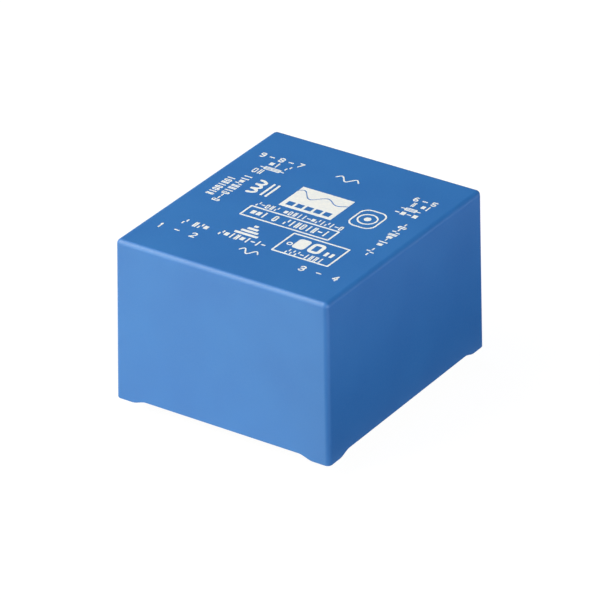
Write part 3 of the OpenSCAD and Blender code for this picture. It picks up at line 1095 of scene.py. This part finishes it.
@dataclass(frozen=True)
class Coil:
    """One chamber's winding: a wound body whose outer layer shows every turn.

    Attributes:
        wire: the diameter of its wire.
        depth: how far the winding stands out from the bobbin's tube.
        corner: the radius of its outer corners.
    """

    wire: float
    depth: float
    corner: float = 4.0 * MM

    @staticmethod
    def rule() -> Rule:
        """Makes the rule: a rounded tube, and rings side by side round it."""
        rule = Rule("wound_coil")
        wide, tall, long = (rule.input(name, "Float") for name in ("Width", "Height", "Length"))
        wire, depth, corner = (rule.input(name, "Float") for name in ("Wire", "Depth", "Corner"))
        turns, place = rule.input("Turns", "Int"), rule.input("Place", "Vector")
        half_wire = rule.maths("MULTIPLY", wire, 0.5)
        body_t = rule.maths("SUBTRACT", depth, half_wire)

        def loop(inset: bpy.types.NodeSocket, radius: bpy.types.NodeSocket) -> bpy.types.NodeSocket:
            """A rounded outline, a distance inside the winding's box."""
            box = rule.node("CurvePrimitiveQuadrilateral", {
                "Width": rule.maths("SUBTRACT", wide, inset), "Height": rule.maths("SUBTRACT", tall, inset)})
            bent = rule.node("FilletCurve", {"Curve": box.outputs[0], "Count": 6, "Radius": radius}, mode="POLY")
            return bent.outputs[0]

        section = rule.node("CurvePrimitiveQuadrilateral", {"Width": body_t, "Height": long})
        bend = rule.maths("ADD", rule.maths("MULTIPLY", body_t, 0.5), INNER_BEND)
        body = rule.node("CurveToMesh", {"Curve": loop(rule.maths("ADD", depth, half_wire), bend),
                                         "Profile Curve": section.outputs[0]})
        strand = rule.node("CurvePrimitiveCircle", {"Resolution": 8, "Radius": half_wire})
        turn = rule.node("CurveToMesh", {"Curve": loop(wire, rule.maths("SUBTRACT", corner, half_wire)),
                                         "Profile Curve": strand.outputs[0]})
        pitch = rule.maths("DIVIDE", rule.maths("SUBTRACT", long, wire), rule.maths("SUBTRACT", turns, 1.0))
        first = rule.maths("MULTIPLY", rule.maths("SUBTRACT", long, wire), -0.5)
        places = rule.node("MeshLine", {"Count": turns, "Start Location": rule.vector(z=first),
                                        "Offset": rule.vector(z=pitch)}, mode="OFFSET")
        ring = rule.node("GeometryToInstance", {"Geometry": turn.outputs[0]})
        layer = rule.node("InstanceOnPoints", {"Points": places.outputs["Mesh"], "Instance": ring.outputs[0]})
        both = rule.node("JoinGeometry", {"Geometry": [body.outputs[0], layer.outputs[0]]})
        laid = rule.node("Transform", {"Geometry": both.outputs[0], "Translation": place,
                                       "Rotation": (math.pi / 2, 0.0, 0.0)})
        rule.close(laid.outputs[0])
        return rule

    def build(self, rule: Rule, name: str, low: Vector, high: Vector, enamel: bpy.types.Material) -> bpy.types.Object:
        """Winds the coil inside a box.

        Args:
            rule: the rule from rule().
            name: the new piece's name.
            low: the box's least corner.
            high: its greatest corner.
            enamel: the finish.

        Returns:
            The winding, as one mesh.
        """
        size, long = high - low, high.y - low.y
        made = rule.run(name, Width=size.x, Height=size.z, Length=long, Wire=self.wire, Depth=self.depth,
                        Corner=self.corner, Turns=int(long / (self.wire * LAY)), Place=tuple((low + high) / 2),
                        Material=enamel)
        shape = bmesh.new()
        shape.from_mesh(made.data)
        bmesh.ops.recalc_face_normals(shape, faces=shape.faces)
        shape.to_mesh(made.data)
        shape.free()
        soften(made, 50.0)
        return made


# ---- Stage ----


@dataclass
class Studio:
    """Pale floor, soft lamps and the camera."""

    floor_z: float
    azimuth: float = math.radians(33.812)
    elevation: float = math.radians(28.836)
    roll: float = math.radians(-0.610)
    distance: float = 1.1582
    slide: Point = (-0.000418, 0.016963)
    lens: float = 291.51
    fill: float = 0.16

    def camera(self) -> bpy.types.Object:
        """Adds the camera, looking down on the corner between the primary side and the right one."""
        az, el = self.azimuth, self.elevation
        back = Vector((math.sin(az) * math.cos(el), -math.cos(az) * math.cos(el), math.sin(el)))
        right = Vector((math.cos(az), math.sin(az), 0))
        up = back.cross(right)
        c, s = math.cos(self.roll), math.sin(self.roll)
        right, up = c * right + s * up, c * up - s * right
        data = bpy.data.cameras.new("camera")
        data.lens, data.sensor_width, data.clip_start, data.clip_end = self.lens, 36.0, 0.05, 30.0
        camera = bpy.data.objects.new("camera", data)
        bpy.context.scene.collection.objects.link(camera)
        spot = back * self.distance + right * self.slide[0] + up * self.slide[1]
        turned = Matrix((right, up, back)).transposed()
        camera.matrix_world = Matrix.Translation(spot) @ turned.to_4x4()
        bpy.context.scene.camera = camera
        return camera

    def lamp(self, name: str, towards: tuple[float, float, float], size: float, power: float, tint: Colour) -> None:
        """Adds a square soft lamp.

        Args:
            name: the lamp's name.
            towards: its place, seen from the object, in metres.
            size: its side in metres.
            power: its power in watts.
            tint: its colour.
        """
        data = bpy.data.lights.new(name, "AREA")
        data.shape, data.size, data.energy, data.color = "SQUARE", size, power, tint
        lamp = bpy.data.objects.new(name, data)
        bpy.context.scene.collection.objects.link(lamp)
        lamp.location = towards
        lamp.rotation_euler = Vector(towards).to_track_quat("Z", "Y").to_euler()
        lamp.visible_camera = False

    @staticmethod
    def seen_directly(nodes: bpy.types.Nodes, links: bpy.types.NodeLinks) -> bpy.types.NodeSocket:
        """Adds nodes that give 1 to camera, glossy and transmission rays, and 0 to others."""
        path = nodes.new("ShaderNodeLightPath")
        total = None
        for name in ("Is Camera Ray", "Is Glossy Ray", "Is Transmission Ray"):
            if total is None:
                total = path.outputs[name]
                continue
            either = nodes.new("ShaderNodeMath")
            either.operation = "MAXIMUM"
            links.new(total, either.inputs[0])
            links.new(path.outputs[name], either.inputs[1])
            total = either.outputs["Value"]
        return total

    def world(self) -> None:
        """Sets an even fill light, which shows as white where it is seen directly."""
        world = bpy.data.worlds.new("studio")
        world.use_nodes = True
        nodes, links = world.node_tree.nodes, world.node_tree.links
        shown = self.seen_directly(nodes, links)
        level = nodes.new("ShaderNodeMapRange")
        level.inputs["To Min"].default_value, level.inputs["To Max"].default_value = self.fill, 1.0
        links.new(shown, level.inputs["Value"])
        background = nodes["Background"]
        background.inputs["Color"].default_value = (1, 1, 1, 1)
        links.new(level.outputs["Result"], background.inputs["Strength"])
        bpy.context.scene.world = world

    def floor(self) -> bpy.types.Object:
        """Adds the pale floor, which keeps the object's soft shadow and is clear from below."""
        mesh = bpy.data.meshes.new("floor")
        reach = 3.0
        mesh.from_pydata([(-reach, -reach, self.floor_z), (reach, -reach, self.floor_z),
                          (reach, reach, self.floor_z), (-reach, reach, self.floor_z)], [], [(0, 1, 2, 3)])
        floor = new_object("floor", mesh)
        material = bpy.data.materials.new("pale_floor")
        material.use_nodes = True
        nodes, links = material.node_tree.nodes, material.node_tree.links
        nodes.clear()
        card = nodes.new("ShaderNodeBsdfDiffuse")
        card.inputs["Color"].default_value = (0.86, 0.86, 0.86, 1)
        white = nodes.new("ShaderNodeEmission")
        white.inputs["Strength"].default_value = 1.10
        share = nodes.new("ShaderNodeMath")
        share.operation = "MULTIPLY"
        share.inputs[1].default_value = 0.88
        links.new(self.seen_directly(nodes, links), share.inputs[0])
        mix, sides = nodes.new("ShaderNodeMixShader"), nodes.new("ShaderNodeMixShader")
        clear = nodes.new("ShaderNodeBsdfTransparent")
        links.new(share.outputs["Value"], mix.inputs["Fac"])
        links.new(card.outputs[0], mix.inputs[1])
        links.new(white.outputs[0], mix.inputs[2])
        links.new(nodes.new("ShaderNodeNewGeometry").outputs["Backfacing"], sides.inputs["Fac"])
        links.new(mix.outputs[0], sides.inputs[1])
        links.new(clear.outputs[0], sides.inputs[2])
        links.new(sides.outputs[0], nodes.new("ShaderNodeOutputMaterial").inputs["Surface"])
        mesh.materials.append(material)
        return floor

    def flag(self, name: str, corners: Sequence[tuple[float, float, float]]) -> bpy.types.Object:
        """Adds a dark card that only the object's surfaces see, on one side.

        Args:
            name: the card's name.
            corners: its four corners, counterclockwise as the object sees them.

        Returns:
            The card.
        """
        mesh = bpy.data.meshes.new(name)
        mesh.from_pydata(list(corners), [], [(0, 1, 2, 3)])
        card = new_object(name, mesh)
        card.visible_camera = card.visible_shadow = card.visible_transmission = False
        material = bpy.data.materials.new(name)
        material.use_nodes = True
        nodes, links = material.node_tree.nodes, material.node_tree.links
        nodes.clear()
        dark, clear, sides = (nodes.new(f"ShaderNode{kind}") for kind in ("BsdfDiffuse", "BsdfTransparent", "MixShader"))
        dark.inputs["Color"].default_value = (0.02, 0.02, 0.02, 1)
        links.new(nodes.new("ShaderNodeNewGeometry").outputs["Backfacing"], sides.inputs["Fac"])
        links.new(dark.outputs[0], sides.inputs[1])
        links.new(clear.outputs[0], sides.inputs[2])
        links.new(sides.outputs[0], nodes.new("ShaderNodeOutputMaterial").inputs["Surface"])
        mesh.materials.append(material)
        return card

    def build(self) -> None:
        """Sets up the whole stage."""
        bpy.context.scene.view_settings.view_transform = "Standard"
        self.camera()
        self.world()
        self.floor()
        low = self.floor_z + 0.4 * MM
        # Painted shadow: the right card is a dark sheet just over the floor beside the cup, where the floor lies in
        # the cup's shade; the right side sees it in its reflection and bounce light, and so grows darker towards its
        # foot.
        self.flag("right_painted_shadow_card", ((0.033, -0.12, low), (0.11, -0.12, low), (0.11, 0.14, low), (0.033, 0.14, low)))
        self.flag("back_flag", ((-1.2, 1.1, 0.05), (1.6, 1.1, 0.05), (1.6, 0.9, 1.9), (-1.2, 0.9, 1.9)))
        self.lamp("key_lamp", (-0.511, -0.506, 0.764), 0.7, 11.5, (1.0, 0.91, 0.66))
        self.lamp("front_lamp", (-0.375, -0.700, 0.085), 0.45, 2.4, (1.0, 1.0, 0.90))
        self.lamp("right_lamp", (1.400, -0.400, 0.100), 0.9, 19.5, (0.86, 0.95, 1.0))
        self.lamp("left_lamp", (-0.760, 0.000, 0.730), 0.7, 3.2, (0.32, 0.50, 1.0))


# ---- Putting it together ----

COILS = {
    **{f"{side}_primary_winding": Coil(wire=0.40 * MM, depth=4.6 * MM) for side in ("left", "right")},
    **{f"{side}_secondary_winding": Coil(wire=0.85 * MM, depth=4.4 * MM) for side in ("left", "right")},
}
CARRIED_OVER = {
    "potting_resin": "resin",
    "u_core": "steel", "i_core": "steel",
    "left_bobbin": "nylon", "right_bobbin": "nylon",
    **{f"{side}_{coil}_tape": "tape" for side in ("left", "right") for coil in ("primary", "secondary")},
    **{f"lead_{i}": "wire" for i in range(1, 10)},
}


def report(piece: bpy.types.Object) -> None:
    """Logs a finished piece and its number of faces."""
    LOG.info("%s: %d faces", piece.name, len(piece.data.polygons))


def main() -> None:
    """Builds every piece in order."""
    logging.basicConfig(level=logging.INFO, format="%(name)s %(message)s")
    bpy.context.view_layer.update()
    palette = Palette()

    low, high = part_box("housing")
    cup = Cup(half_x=high.x, half_y=high.y, height=high.z).build(palette.plastic)
    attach(cup, BODY)
    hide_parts("housing")
    report(cup)

    white_print = TopPrint(plane=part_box("top_print")[0].z).build(palette.ink)
    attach(white_print, BODY)
    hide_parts("top_print")
    report(white_print)

    low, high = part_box("terminal_1")
    pins = Terminals(low=low.z, high=high.z).build(palette.tin)
    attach(pins, BODY)
    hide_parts(*(f"terminal_{i}" for i in range(1, 10)))
    report(pins)

    winder = Coil.rule()
    for chamber, coil in COILS.items():
        low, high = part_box(chamber)
        wound = coil.build(winder, chamber.replace("winding", "coil"), low, high, palette.wire)
        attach(wound, BODY)
        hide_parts(chamber)
        report(wound)

    for name, finish in CARRIED_OVER.items():
        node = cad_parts[name]
        node.data.materials.clear()
        node.data.materials.append(getattr(palette, finish))
        report(node)

    Studio(floor_z=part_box("terminal_1")[0].z).build()


if __name__ == "__main__":
    main()
